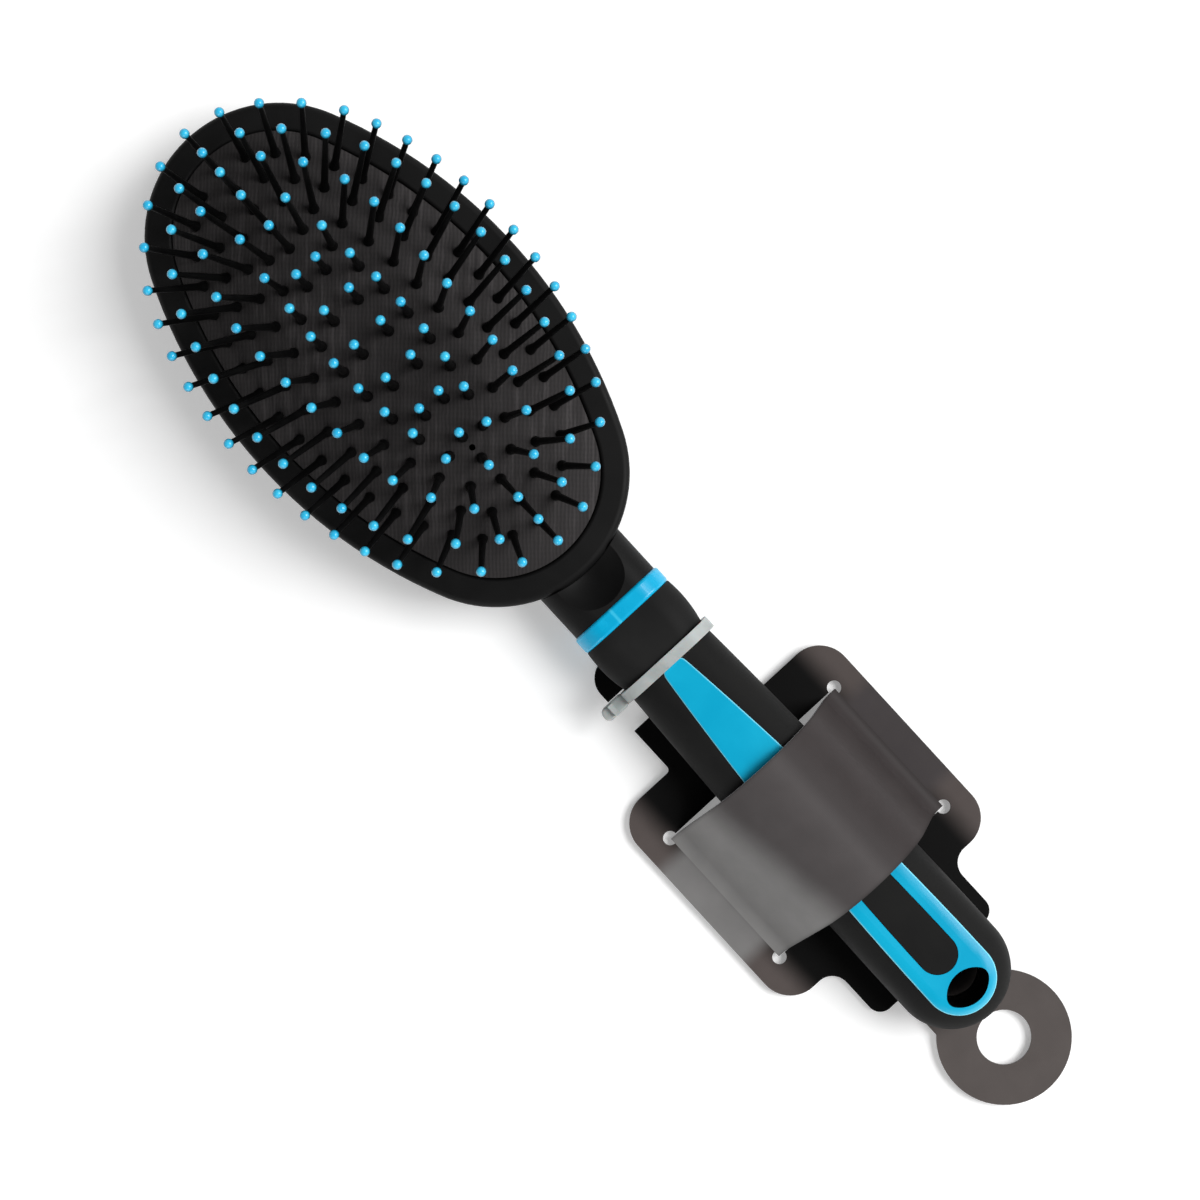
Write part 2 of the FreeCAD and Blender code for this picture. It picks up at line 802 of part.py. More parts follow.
def make_hang_card():
    body = new_body("hang_card")
    body_front = handle_front - dim.card_body_margin
    body_back = body_front - dim.card_body_length
    half_body = dim.card_body_width / 2
    half_foot = dim.card_foot_width / 2
    tongue_low = dim.tongue_shift - dim.tongue_width / 2
    tongue_high = dim.tongue_shift + dim.tongue_width / 2
    foot_end = body_back - dim.card_foot_length
    tab_centre = handle_end - dim.tab_margin
    half_strip = dim.tab_neck_width / 2
    tongue_end = handle_front + dim.tongue_reach
    corner = dim.card_body_corner
    sheets = [
        rounded(body_back, body_front, -half_body, half_body, corner),
        rounded(foot_end, body_back + corner, -half_foot, half_foot, dim.card_foot_corner),
        rectangle(tab_centre, foot_end + dim.card_foot_corner, -half_strip, half_strip),
        rounded(body_front - corner, tongue_end, tongue_low, tongue_high, dim.tongue_corner),
    ]
    for corners in sheets:
        pad(body, card_sketch(body, corners), dim.card_thickness)
    flat = (ZERO, dim.card_shift, card_bottom)
    tab = circle(sketch_on(body, "XY_Plane", flat), tab_centre, ZERO, dim.tab_radius)
    pad(body, tab, dim.card_thickness)
    shoulders = [
        (dim.foot_shoulder, body_back, (-half_foot, half_foot)),
        (dim.tongue_shoulder, body_front, (tongue_low, tongue_high)),
    ]
    for radius, x, sides in shoulders:
        fillet(body, radius, lambda edge: any(stands_at(edge, x, dim.card_shift + y) for y in sides))
    # hanging hole, waist for the tie, and the window that the band leaves with its four slit ends
    top = (ZERO, dim.card_shift, card_top)
    hole = circle(sketch_on(body, "XY_Plane", top), tab_centre, ZERO, dim.tab_hole_radius)
    pocket(body, hole, dim.card_thickness)
    notch_front = handle_front + dim.fit_gap
    notch_back = notch_front - dim.notch_length
    half_waist = dim.notch_waist / 2
    beyond = dim.card_shift + tongue_high + dim.overrun
    waist = sketch_on(body, "XY_Plane", (ZERO, ZERO, card_top))
    outline(waist, rectangle(notch_back, notch_front, half_waist, beyond))
    outline(waist, rectangle(notch_back, notch_front, -beyond, -half_waist))
    pocket(body, waist, dim.card_thickness)
    slit_front = body_front - dim.slit_margin
    slit_back = slit_front - dim.band_width
    window = outline(
        sketch_on(body, "XY_Plane", top), rectangle(slit_back, slit_front, -dim.band_reach, dim.band_reach)
    )
    pocket(body, window, dim.card_thickness)
    for x in (slit_back, slit_front):
        for y in (-dim.band_reach, dim.band_reach):
            slit_end = circle(sketch_on(body, "XY_Plane", top), x, y, dim.slit_hole_radius)
            pocket(body, slit_end, dim.card_thickness)
    return [body, make_card_band(slit_back + dim.slit_gap / 2, slit_front - dim.slit_gap / 2)]


def make_card_band(back, front):
    # The band rises from its folds on both sides of the window and arches over the handle's shoulders
    body = new_body("card_band")
    middle = card_bottom + dim.card_thickness / 2
    foot = dim.band_foot_radius
    arch = dim.band_arch_radius
    room = arch - dim.handle_corner - dim.band_gap - dim.card_thickness / 2
    shoulder = dim.handle_end_width / 2 - dim.handle_corner
    arch_height = handle_top - dim.handle_corner - root(room * room - shoulder * shoulder)
    left = dim.band_reach - dim.card_shift
    right = dim.band_reach + dim.card_shift
    left_foot, left_arch = flank(left, foot, arch, arch_height - middle)
    right_foot, right_arch = flank(right, foot, arch, arch_height - middle)
    path = [
        Corner(-left, middle, foot),
        Corner(-left_foot[0], middle + left_foot[1]),
        Corner(-left_arch[0], middle + left_arch[1], arch, True),
        Corner(right_arch[0], middle + right_arch[1]),
        Corner(right_foot[0], middle + right_foot[1], foot),
        Corner(right, middle),
    ]
    profile = sketch_on(body, "XZ_Plane", (ZERO, ZERO, left))
    outline(profile, rectangle(back, front, card_bottom, card_top))
    spine = outline(sketch_on(body, "YZ_Plane", (ZERO, ZERO, back)), path, closed=False)
    feature = body.newObject("PartDesign::AdditivePipe", "band")
    feature.Profile = profile
    feature.Spine = spine
    doc.recompute()
    return body


def flank(reach, foot, arch, rise_to_arch):
    # Where the straight flank leaves the foot's arc and meets the arch: out from the middle, up from the card
    rise = rise_to_arch - foot
    square = reach * reach + rise * rise
    both = foot + arch
    run = root(square - both * both)
    lean_out = (both * reach + run * rise) / square
    lean_up = (both * rise - run * reach) / square
    foot_point = (reach - foot * lean_out, foot + foot * lean_up)
    arch_point = (arch * lean_out, rise_to_arch - arch * lean_up)
    return foot_point, arch_point


def make_cable_tie():
    body = new_body("cable_tie")
    front = handle_front - dim.fit_gap
    back = front - dim.tie_width
    inner_half = dim.handle_front_width / 2 + dim.tie_gap
    inner_top = handle_top - dim.handle_crown + dim.tie_gap
    thick = dim.tie_thickness
    outer_half = inner_half + thick
    # locking head at the side
    middle = (front + back) / 2
    head_half = dim.tie_head_width / 2
    head_start_y = inner_half + thick / 2
    head_end_y = head_start_y + dim.tie_head_length
    low = axis_height - dim.tie_head_height / 2
    high = low + dim.tie_head_height
    block = rounded(middle - head_half, middle + head_half, head_start_y, head_end_y, dim.tie_head_corner)
    pad(body, outline(sketch_on(body, "XY_Plane", (ZERO, ZERO, low)), block), dim.tie_head_height)
    fillet(body, dim.tie_head_round, lambda edge: lies_at(edge, high) or lies_at(edge, low))
    # strap, and its cut tail above the head
    loop = sketch_on(body, "YZ_Plane", (ZERO, ZERO, back))
    outline(loop, rounded(-inner_half, inner_half, thick, inner_top, dim.tie_corner))
    outline(loop, rounded(-outer_half, outer_half, ZERO, inner_top + thick, dim.tie_corner + thick))
    pad(body, loop, dim.tie_width)
    tail_y = (head_start_y + head_end_y) / 2
    tail = rectangle(back, front, tail_y, tail_y + thick)
    pad(body, outline(sketch_on(body, "XY_Plane", (ZERO, ZERO, high)), tail), dim.tie_tail_length)
    return body


def check_document():
    for item in doc.Objects:
        if "Invalid" in item.State or "Error" in item.State:
            raise ValueError(f"{item.Label} failed: {item.State}")


def write(parts):
    os.makedirs("parts", exist_ok=True)
    for part in parts:
        if part.Shape.isNull() or not part.Shape.isValid():
            raise ValueError(f"{part.Label} has no valid shape")
    for part in parts:
        part.Shape.exportStep(f"parts/{part.Label}.step")
        print(f"{part.Label}: {len(part.Shape.Solids)} solids, {part.Shape.Volume:.1f} mm3")


doc = FreeCAD.newDocument("hair_brush")
dim = read_sheet()

# Levels and stations that several pieces share
card_bottom = dim.tie_thickness + dim.fit_gap
card_top = card_bottom + dim.card_thickness
handle_bottom = card_top + dim.fit_gap
handle_top = handle_bottom + dim.handle_thickness
axis_height = handle_bottom + dim.handle_thickness / 2
rim_top = dim.shell_height + dim.rim_height
lip_inset = dim.shell_wall + dim.fit_gap
head_start = dim.ring_length + dim.neck_length
head_centre = head_start + dim.head_length / 2
handle_front = -dim.collar_length
handle_end = handle_front - dim.handle_length
bore = section(dim.tang_width + dim.fit_gap * 2, dim.tang_thickness + dim.fit_gap * 2, dim.tang_corner)

pieces = [make_head_shell(), make_front_rim()]
pieces += make_cushion_and_pins()
pieces += [make_neck_ring(), make_neck_collar()]
pieces += make_handle()
pieces += make_hang_card()
pieces.append(make_cable_tie())
doc.recompute()
check_document()
write(pieces)
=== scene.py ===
import math
import bmesh
import bpy
from mathutils import Matrix, Vector
from mathutils.bvhtree import BVHTree


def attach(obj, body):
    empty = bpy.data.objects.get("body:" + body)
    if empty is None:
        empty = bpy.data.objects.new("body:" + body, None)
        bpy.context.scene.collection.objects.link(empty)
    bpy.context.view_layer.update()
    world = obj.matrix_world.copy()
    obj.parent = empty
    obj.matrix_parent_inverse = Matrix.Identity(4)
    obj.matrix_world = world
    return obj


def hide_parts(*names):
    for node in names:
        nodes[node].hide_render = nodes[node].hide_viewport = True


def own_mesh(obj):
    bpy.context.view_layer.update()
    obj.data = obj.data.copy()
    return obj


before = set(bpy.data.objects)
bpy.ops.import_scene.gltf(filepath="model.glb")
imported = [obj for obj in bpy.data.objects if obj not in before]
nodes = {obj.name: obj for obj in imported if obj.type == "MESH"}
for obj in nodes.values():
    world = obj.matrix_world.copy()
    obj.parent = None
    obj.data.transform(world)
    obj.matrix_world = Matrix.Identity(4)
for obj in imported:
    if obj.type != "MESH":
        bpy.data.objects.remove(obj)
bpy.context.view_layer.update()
print("frame loaded:", len(nodes), "nodes")


# shader helpers

def addNode(tree, kind, values=None, **settings):
    node = tree.nodes.new(kind)
    for name, value in settings.items():
        setattr(node, name, value)
    for name, value in (values or {}).items():
        node.inputs[name].default_value = value
    return node


def addMath(tree, operation, *values, clamp=False):
    node = addNode(tree, "ShaderNodeMath", operation=operation, use_clamp=clamp)
    for socket, value in zip(node.inputs, values):
        if isinstance(value, bpy.types.NodeSocket):
            tree.links.new(value, socket)
        else:
            socket.default_value = value
    return node.outputs["Value"]


def addRamp(tree, source, low, high):
    # 0 below low, 1 above high, smooth between
    values = {"From Min": low, "From Max": high}
    node = addNode(tree, "ShaderNodeMapRange", values, interpolation_type="SMOOTHSTEP")
    tree.links.new(source, node.inputs["Value"])
    return node.outputs["Result"]


# where a mix node keeps its colours
mixSockets = {"first": 6, "second": 7, "result": 2}


def addMix(tree, factor, first, second):
    node = addNode(tree, "ShaderNodeMix", data_type="RGBA")
    tree.links.new(factor, node.inputs["Factor"])
    for name, value in (("first", first), ("second", second)):
        socket = node.inputs[mixSockets[name]]
        if isinstance(value, bpy.types.NodeSocket):
            tree.links.new(value, socket)
        else:
            socket.default_value = (*value, 1)
    return node.outputs[mixSockets["result"]]


def addTexture(tree, kind, place, values, **settings):
    node = addNode(tree, kind, values, **settings)
    tree.links.new(place, node.inputs["Vector"])
    return node.outputs["Fac"]


def newGroup(name, inputs, outputs):
    group = bpy.data.node_groups.new(name, "ShaderNodeTree")
    for label, kind, value in inputs:
        socket = group.interface.new_socket(name=label, in_out="INPUT", socket_type=kind)
        if value is not None:
            socket.default_value = value
    for label in outputs:
        group.interface.new_socket(name=label, in_out="OUTPUT", socket_type="NodeSocketFloat")
    return group, addNode(group, "NodeGroupInput"), addNode(group, "NodeGroupOutput")


def newMaterial(name, constants):
    material = bpy.data.materials.new(name)
    material.use_nodes = True
    tree = material.node_tree
    shader = tree.nodes["Principled BSDF"]
    for socket, value in constants.items():
        shader.inputs[socket].default_value = value
    return material, tree, shader


def objectPlace(tree):
    return addNode(tree, "ShaderNodeTexCoord").outputs["Object"]


def splitVector(tree, vector):
    split = addNode(tree, "ShaderNodeSeparateXYZ")
    tree.links.new(vector, split.inputs["Vector"])
    return split.outputs


def surfaceNormal(tree):
    return splitVector(tree, addNode(tree, "ShaderNodeNewGeometry").outputs["Normal"])


def addGloss(tree, shader, source, low, high):
    # roughness where the source is 0 and where it is 1
    gloss = addNode(tree, "ShaderNodeMapRange", {"To Min": low, "To Max": high})
    tree.links.new(source, gloss.inputs["Value"])
    tree.links.new(gloss.outputs["Result"], shader.inputs["Roughness"])


def addBump(tree, shader, height, distance, strength):
    bump = addNode(tree, "ShaderNodeBump", {"Distance": distance, "Strength": strength})
    tree.links.new(height, bump.inputs["Height"])
    tree.links.new(bump.outputs["Normal"], shader.inputs["Normal"])


# grain of a moulded skin, and the faint marks that hands leave on it
skinTexture = {
    "grainScale": 4000.0, "grain": {"Detail": 2.0, "Roughness": 0.6},
    "smudgeScale": 60.0, "smudge": {"Detail": 5.0, "Roughness": 0.55, "Distortion": 0.4},
    "smudgeRange": (0.32, 0.68),
}


def makeMouldedSkin():
    inputs = [
        ("Vector", "NodeSocketVector", None),
        ("Grain Scale", "NodeSocketFloat", skinTexture["grainScale"]),
        ("Smudge Scale", "NodeSocketFloat", skinTexture["smudgeScale"]),
    ]
    group, given, result = newGroup("mouldedSkin", inputs, ("Grain", "Smudge"))
    place = given.outputs["Vector"]
    grain = addTexture(group, "ShaderNodeTexNoise", place, skinTexture["grain"])
    smudge = addTexture(group, "ShaderNodeTexNoise", place, skinTexture["smudge"])
    for texture, scale in ((grain, "Grain Scale"), (smudge, "Smudge Scale")):
        group.links.new(given.outputs[scale], texture.node.inputs["Scale"])
    group.links.new(grain, result.inputs["Grain"])
    group.links.new(addRamp(group, smudge, *skinTexture["smudgeRange"]), result.inputs["Smudge"])
    return group


mouldedSkin = makeMouldedSkin()


pinRings = range(1, 6)  # from the rim inwards

# moulded pieces: two shades of the colour, gloss from clean to handled, grain
mouldedLooks = {
    "softBlack": {
        "nodes": ("head_shell", "front_rim"),
        "dark": (0.0032, 0.0032, 0.0032), "light": (0.0056, 0.0055, 0.0055),
        "gloss": (0.48, 0.62), "grainScale": 3600.0, "smudgeScale": 55.0,
        "bumpDepth": 0.00003, "bumpStrength": 0.35,
        "constants": {"Specular IOR Level": 0.13},
    },
    "collarBlack": {
        "nodes": ("neck_collar",),
        "dark": (0.0098, 0.0098, 0.0098), "light": (0.0140, 0.0140, 0.0138),
        "gloss": (0.60, 0.74), "grainScale": 4400.0, "smudgeScale": 65.0,
        "bumpDepth": 0.00003, "bumpStrength": 0.35,
        "constants": {"Specular IOR Level": 0.09},
    },
    "gripRubber": {
        "nodes": ("grip_sleeve", "grip_island"),
        "dark": (0.0058, 0.0058, 0.0058), "light": (0.0098, 0.0098, 0.0095),
        "gloss": (0.58, 0.74), "grainScale": 5200.0, "smudgeScale": 70.0,
        "bumpDepth": 0.00004, "bumpStrength": 0.4,
        "constants": {"Specular IOR Level": 0.1, "Sheen Weight": 0.02, "Sheen Roughness": 0.6},
    },
    "pinBlack": {
        "nodes": tuple(f"pins_ring_{ring}" for ring in pinRings),
        "dark": (0.0014, 0.0014, 0.0015), "light": (0.0028, 0.0028, 0.0028),
        "gloss": (0.42, 0.54), "grainScale": 2600.0, "smudgeScale": 140.0,
        "bumpDepth": 0.00002, "bumpStrength": 0.25,
        "constants": {"Specular IOR Level": 0.12},
    },
    "tipBlue": {
        "nodes": tuple(f"pin_tips_ring_{ring}" for ring in pinRings),
        "dark": (0.022, 0.46, 0.78), "light": (0.04, 0.56, 0.86),
        "gloss": (0.18, 0.28), "grainScale": 1800.0, "smudgeScale": 260.0,
        "bumpDepth": 0.00001, "bumpStrength": 0.15,
        "constants": {"Specular IOR Level": 0.4, "Coat Weight": 0.3, "Coat Roughness": 0.1},
    },
    "inlayBlue": {
        "nodes": ("handle_core",),
        "dark": (0.0, 0.350, 0.57), "light": (0.0, 0.405, 0.635),
        "gloss": (0.30, 0.40), "grainScale": 1500.0, "smudgeScale": 45.0,
        "bumpDepth": 0.00002, "bumpStrength": 0.04,
        "constants": {"Specular IOR Level": 0.22, "Coat Weight": 0.08, "Coat Roughness": 0.2},
    },
    "ringBlue": {
        "nodes": ("neck_ring",),
        "dark": (0.0, 0.36, 0.62), "light": (0.0, 0.43, 0.71),
        "gloss": (0.24, 0.36), "grainScale": 1500.0, "smudgeScale": 90.0,
        "bumpDepth": 0.00002, "bumpStrength": 0.12,
        "constants": {"Specular IOR Level": 0.3, "Coat Weight": 0.15, "Coat Roughness": 0.12},
    },
    "tieNylon": {
        "nodes": ("cable_tie",),
        "dark": (0.315, 0.34, 0.336), "light": (0.415, 0.445, 0.44),
        "gloss": (0.32, 0.44), "grainScale": 2200.0, "smudgeScale": 150.0,
        "bumpDepth": 0.00003, "bumpStrength": 0.2,
        "constants": {"Subsurface Weight": 0.2, "Subsurface Scale": 0.001},
    },
}
# the ball tips get painted shade: the colour darkens where they turn down, towards their undersides
tip = {"turnedDown": (0.1, 0.92), "under": (0.004, 0.14, 0.225)}
# the inlay gets a painted highlight where its edge rounds over, and is black on the wall of the eye
inlay = {
    "roundedOver": (0.78, 0.985), "paintedEdgeHighlight": (0.22, 0.72, 0.89),
    "wall": (0.12, 0.30), "wallBlack": (0.003, 0.003, 0.003),
}
# the ring has a pale line across its top, just off its middle
ringMark = {
    "place": 0.0017, "width": (0.0001, 0.0005), "front": (0.012, 0.014),
    "pale": (0.035, 0.50, 0.75),
}


def paintTipShade(tree, colour):
    # painted shade: each ball tip darkens to the under colour where its surface turns down
    upward = addRamp(tree, surfaceNormal(tree)["Z"], *tip["turnedDown"])
    return addMix(tree, upward, tip["under"], colour)


def paintInlay(tree, colour):
    upward = surfaceNormal(tree)["Z"]
    # painted highlight along the inlay's rounded-over edge
    colour = addMix(tree, addRamp(tree, upward, *inlay["roundedOver"]), inlay["paintedEdgeHighlight"], colour)
    return addMix(tree, addRamp(tree, upward, *inlay["wall"]), inlay["wallBlack"], colour)


def paintRing(tree, colour):
    place = splitVector(tree, objectPlace(tree))
    away = addMath(tree, "ABSOLUTE", addMath(tree, "SUBTRACT", place["Y"], ringMark["place"]))
    beside = addRamp(tree, away, *ringMark["width"])
    front = addRamp(tree, place["Z"], *ringMark["front"])
    mark = addMath(tree, "MULTIPLY", addMath(tree, "SUBTRACT", 1.0, beside), front)
    return addMix(tree, mark, colour, ringMark["pale"])


paints = {"tipBlue": paintTipShade, "inlayBlue": paintInlay, "ringBlue": paintRing}


def makeMoulded(name, look):
    material, tree, shader = newMaterial(name, look["constants"])
    skin = addNode(tree, "ShaderNodeGroup", node_tree=mouldedSkin)
    skin.inputs["Grain Scale"].default_value = look["grainScale"]
    skin.inputs["Smudge Scale"].default_value = look["smudgeScale"]
    tree.links.new(objectPlace(tree), skin.inputs["Vector"])
    smudge = skin.outputs["Smudge"]
    colour = addMix(tree, smudge, look["dark"], look["light"])
    if name in paints:
        colour = paints[name](tree, colour)
    tree.links.new(colour, shader.inputs["Base Color"])
    addGloss(tree, shader, smudge, *look["gloss"])
    addBump(tree, shader, skin.outputs["Grain"], look["bumpDepth"], look["bumpStrength"])
    return material


def dress(nodeName, material):
    mesh = nodes[nodeName].data
    mesh.materials.clear()
    mesh.materials.append(material)


for lookName, look in mouldedLooks.items():
    lookMaterial = makeMoulded(lookName, look)
    for nodeName in look["nodes"]:
        dress(nodeName, lookMaterial)
print("moulded pieces dressed")


# hang card: one print over card and band, with a lighter strip between the slits and brown corners; over
# the strip's grey print, painted shade darkens the -Y side and a painted reflection lightens the +Y side
card = {
    "shift": 0.0014,
    "slits": (-0.07315, -0.03975), "slitBlur": 0.0012,
    "flangeStrip": (-0.0690, -0.0434), "flangeBlur": 0.0022, "flangeReach": (0.0200, 0.0240),
    "cornerReach": (0.0200, 0.0265),
    "tabEnd": (-0.103, -0.099),
    "paintedShadeEnd": (-0.0072, -0.0030), "paintedReflectionStart": (0.0066, 0.0142),
    "slant": 0.15, "slantFrom": -0.0565,
    "black": (0.0028, 0.0027, 0.0027),
    "corner": (0.089, 0.074, 0.070),
    "bandPrintShadeAndReflection": ((0.042, 0.036, 0.036), (0.074, 0.067, 0.067), (0.222, 0.218, 0.215)),
    "flatPrintShadeAndReflection": ((0.057, 0.050, 0.051), (0.074, 0.067, 0.067), (0.188, 0.184, 0.182)),
    "tabGrey": (0.090, 0.078, 0.074),
    "core": (0.32, 0.32, 0.33),
    "cutFace": (0.8, 0.9),
    "mottleNoise": {"Scale": 160.0, "Detail": 6.0}, "mottle": (0.86, 1.14),
    "gloss": (0.38, 0.52), "constants": {"Specular IOR Level": 0.08},
    "linen": {"Scale": 900.0, "Distortion": 1.0}, "linenDepth": 0.00002, "linenStrength": 0.25,
}


def makeCardPrint(name, isBand):
    material, tree, shader = newMaterial(name, card["constants"])
    place = objectPlace(tree)
    parts = splitVector(tree, place)
    across = addMath(tree, "SUBTRACT", parts["Y"], card["shift"])
    away = addMath(tree, "ABSOLUTE", across)
    colour = addMix(tree, addRamp(tree, away, *card["cornerReach"]), card["black"], card["corner"])
    # the strip between the slits runs on over the folds
    low, high = card["slits"] if isBand else card["flangeStrip"]
    blur = card["slitBlur"] if isBand else card["flangeBlur"]
    pastLow = addRamp(tree, parts["X"], low - blur, low + blur)
    pastHigh = addRamp(tree, parts["X"], high - blur, high + blur)
    strip = addMath(tree, "SUBTRACT", pastLow, pastHigh)
    if not isBand:
        strip = addMath(tree, "MULTIPLY", strip, addRamp(tree, away, *card["flangeReach"]))
    # painted shade and painted reflection over the strip's grey print: darker on the -Y side, middle over
    # the top, lighter on the +Y side
    dark, middle, light = card["bandPrintShadeAndReflection"] if isBand else card["flatPrintShadeAndReflection"]
    printShadeAndReflection = addMix(tree, addRamp(tree, across, *card["paintedShadeEnd"]), dark, middle)
    # the painted reflection on the +Y side begins along a slanted line
    slanted = addMath(tree, "MULTIPLY_ADD", parts["X"], -card["slant"], card["slant"] * card["slantFrom"])
    side = addMath(tree, "ADD", across, slanted)
    printShadeAndReflection = addMix(tree, addRamp(tree, side, *card["paintedReflectionStart"]), printShadeAndReflection, light)
    colour = addMix(tree, strip, colour, printShadeAndReflection)
    body = addRamp(tree, parts["X"], *card["tabEnd"])
    colour = addMix(tree, body, card["tabGrey"], colour)
    # mottle of the coating
    mottle = addTexture(tree, "ShaderNodeTexNoise", place, card["mottleNoise"])
    shade = addNode(tree, "ShaderNodeHueSaturation")
    level = addNode(tree, "ShaderNodeMapRange", {"To Min": card["mottle"][0], "To Max": card["mottle"][1]})
    tree.links.new(mottle, level.inputs["Value"])
    tree.links.new(level.outputs["Result"], shade.inputs["Value"])
    tree.links.new(colour, shade.inputs["Color"])
    colour = shade.outputs["Color"]
    if isBand:
        # pale board shows where the slits were cut
        cut = addRamp(tree, addMath(tree, "ABSOLUTE", surfaceNormal(tree)["X"]), *card["cutFace"])
        colour = addMix(tree, cut, colour, card["core"])
    tree.links.new(colour, shader.inputs["Base Color"])
    addGloss(tree, shader, mottle, *card["gloss"])
    # linen emboss
    threads = [
        addTexture(tree, "ShaderNodeTexWave", place, card["linen"], bands_direction=direction)
        for direction in ("X", "Y")
    ]
    addBump(tree, shader, addMath(tree, "MAXIMUM", *threads), card["linenDepth"], card["linenStrength"])
    return material


dress("hang_card", makeCardPrint("cardPrint", False))
dress("card_band", makeCardPrint("bandPrint", True))
print("card dressed")


# cushion: a moulded rubber dome on a clamped flange, with a hole in a dimple for each pin
cushion = {
    "centre": 0.07155,
    "halfLength": 0.0533, "halfWidth": 0.0280, "endRadius": 0.0211,
    "rimTop": 0.0170, "domeHeight": 0.0086,
    "crownShare": 0.42, "flankShare": 0.65,
    "membrane": 0.0016,
    "flangeTop": 0.0141, "flangeLow": 0.0127, "flangeReach": 0.0020,
    "endSteps": 64, "sideSteps": 96, "rings": 72, "lastShare": 0.03,
    "underShares": (1.0, 0.82, 0.65, 0.57, 0.49, 0.42, 0.2),
    "weld": 0.00001, "sharpAngle": math.radians(40),
}
pinField = {
    "counts": (38, 32, 26, 20, 12),
    "outer": (0.0472, 0.0242), "core": (0.0252, 0.0034), "shift": 0.0019,
    "fineSteps": 1440, "rayHeight": 0.1,
    "dimpleRadius": 0.0021, "dimpleDepth": 0.00022, "dimpleMargin": 0.0001, "dimpleFacing": 0.3,
    "holeRadius": 0.00087, "holeSides": 16, "ventRadius": 0.00065,
    "drillDepth": 0.003,
}


def domeLeft(share):
    # share of the dome's height left at a share of the way to its edge
    blend = cushion["flankShare"] - cushion["crownShare"]
    steepest = 1 / (1 - cushion["flankShare"] + blend / 2)
    if share > cushion["flankShare"]:
        return steepest * (1 - share)
    turned = max(share - cushion["crownShare"], 0) / blend
    return 1 - steepest * blend * turned ** 2 / 2


def spinOval(mesh, height):
    # four arcs that meet smoothly, spun one after the other
    a, b, r = cushion["halfLength"], cushion["halfWidth"], cushion["endRadius"]
    sideRadius = (a * a + b * b - 2 * a * r) / (2 * (b - r))
    endX, sideY = a - r, sideRadius - b
    endTurn = math.atan2(sideY, endX)
    sideTurn = math.pi - 2 * endTurn
    start = Vector((cushion["centre"] + endX + r * math.cos(endTurn), -r * math.sin(endTurn), height))
    last = [mesh.verts.new(start)]
    arcs = [
        (endX, 0, 2 * endTurn, cushion["endSteps"]), (0, -sideY, sideTurn, cushion["sideSteps"]),
        (-endX, 0, 2 * endTurn, cushion["endSteps"]), (0, sideY, sideTurn, cushion["sideSteps"]),
    ]
    for x, y, turn, steps in arcs:
        pivot = Vector((cushion["centre"] + x, y, height))
        spun = bmesh.ops.spin(mesh, geom=last, cent=pivot, axis=(0, 0, 1), angle=turn, steps=steps)
        last = [item for item in spun["geom_last"] if isinstance(item, bmesh.types.BMVert)]
    bmesh.ops.remove_doubles(mesh, verts=mesh.verts[:], dist=cushion["weld"])
    return mesh.edges[:]


def extrudeRing(mesh, edges, factors, height):
    # a new ring from the last one, scaled about the middle of the head and set to a height
    grown = bmesh.ops.extrude_edge_only(mesh, edges=edges)["geom"]
    verts = [item for item in grown if isinstance(item, bmesh.types.BMVert)]
    middle = Matrix.Translation((-cushion["centre"], 0, 0))
    bmesh.ops.scale(mesh, verts=verts, vec=(factors[0], factors[1], 1), space=middle)
    bmesh.ops.translate(mesh, verts=verts, vec=(0, 0, height - verts[0].co.z))
    return [item for item in grown if isinstance(item, bmesh.types.BMEdge)]


def closeRing(mesh, edges):
    cap = bmesh.ops.edgeloop_fill(mesh, edges=edges)["faces"]
    bmesh.ops.poke(mesh, faces=cap)


def makeCushion():
    mesh = bmesh.new()
    edge = spinOval(mesh, cushion["rimTop"])
    # dome, from the rim up to the crown
    ring, share = edge, 1.0
    for step in range(1, cushion["rings"] + 1):
        nextShare = 1 + (cushion["lastShare"] - 1) * step / cushion["rings"]
        height = cushion["rimTop"] + cushion["domeHeight"] * domeLeft(nextShare)
        ring = extrudeRing(mesh, ring, (nextShare / share, nextShare / share), height)
        share = nextShare
    closeRing(mesh, ring)
    # skirt, flange under the rim, and the underside back up to the crown
    a, b, out = cushion["halfLength"], cushion["halfWidth"], cushion["flangeReach"]
    inner = (a - cushion["membrane"], b - cushion["membrane"])
    ring = extrudeRing(mesh, edge, (1, 1), cushion["flangeTop"])
    ring = extrudeRing(mesh, ring, ((a + out) / a, (b + out) / b), cushion["flangeTop"])
    ring = extrudeRing(mesh, ring, (1, 1), cushion["flangeLow"])
    ring = extrudeRing(mesh, ring, (inner[0] / (a + out), inner[1] / (b + out)), cushion["flangeLow"])
    share = 1.0
    for nextShare in cushion["underShares"]:
        height = cushion["rimTop"] + (cushion["domeHeight"] - cushion["membrane"]) * domeLeft(nextShare)
        ring = extrudeRing(mesh, ring, (nextShare / share, nextShare / share), height)
        share = nextShare
    closeRing(mesh, ring)
    bmesh.ops.recalc_face_normals(mesh, faces=mesh.faces[:])
    return mesh


def ringPoints(halfLength, halfWidth, count):
    # equal steps along an ellipse, from the tip of the brush
    fine = pinField["fineSteps"]
    points = []
    for step in range(fine + 1):
        turn = 2 * math.pi * step / fine
        points.append(Vector((halfLength * math.cos(turn), halfWidth * math.sin(turn), 0)))
    reach = [0.0]
    for first, second in zip(points, points[1:]):
        reach.append(reach[-1] + (second - first).length)
    chosen = []
    for index in range(count):
        goal = reach[-1] * index / count
        step = next(number for number, run in enumerate(reach) if run >= goal)
        chosen.append(points[step])
    return chosen


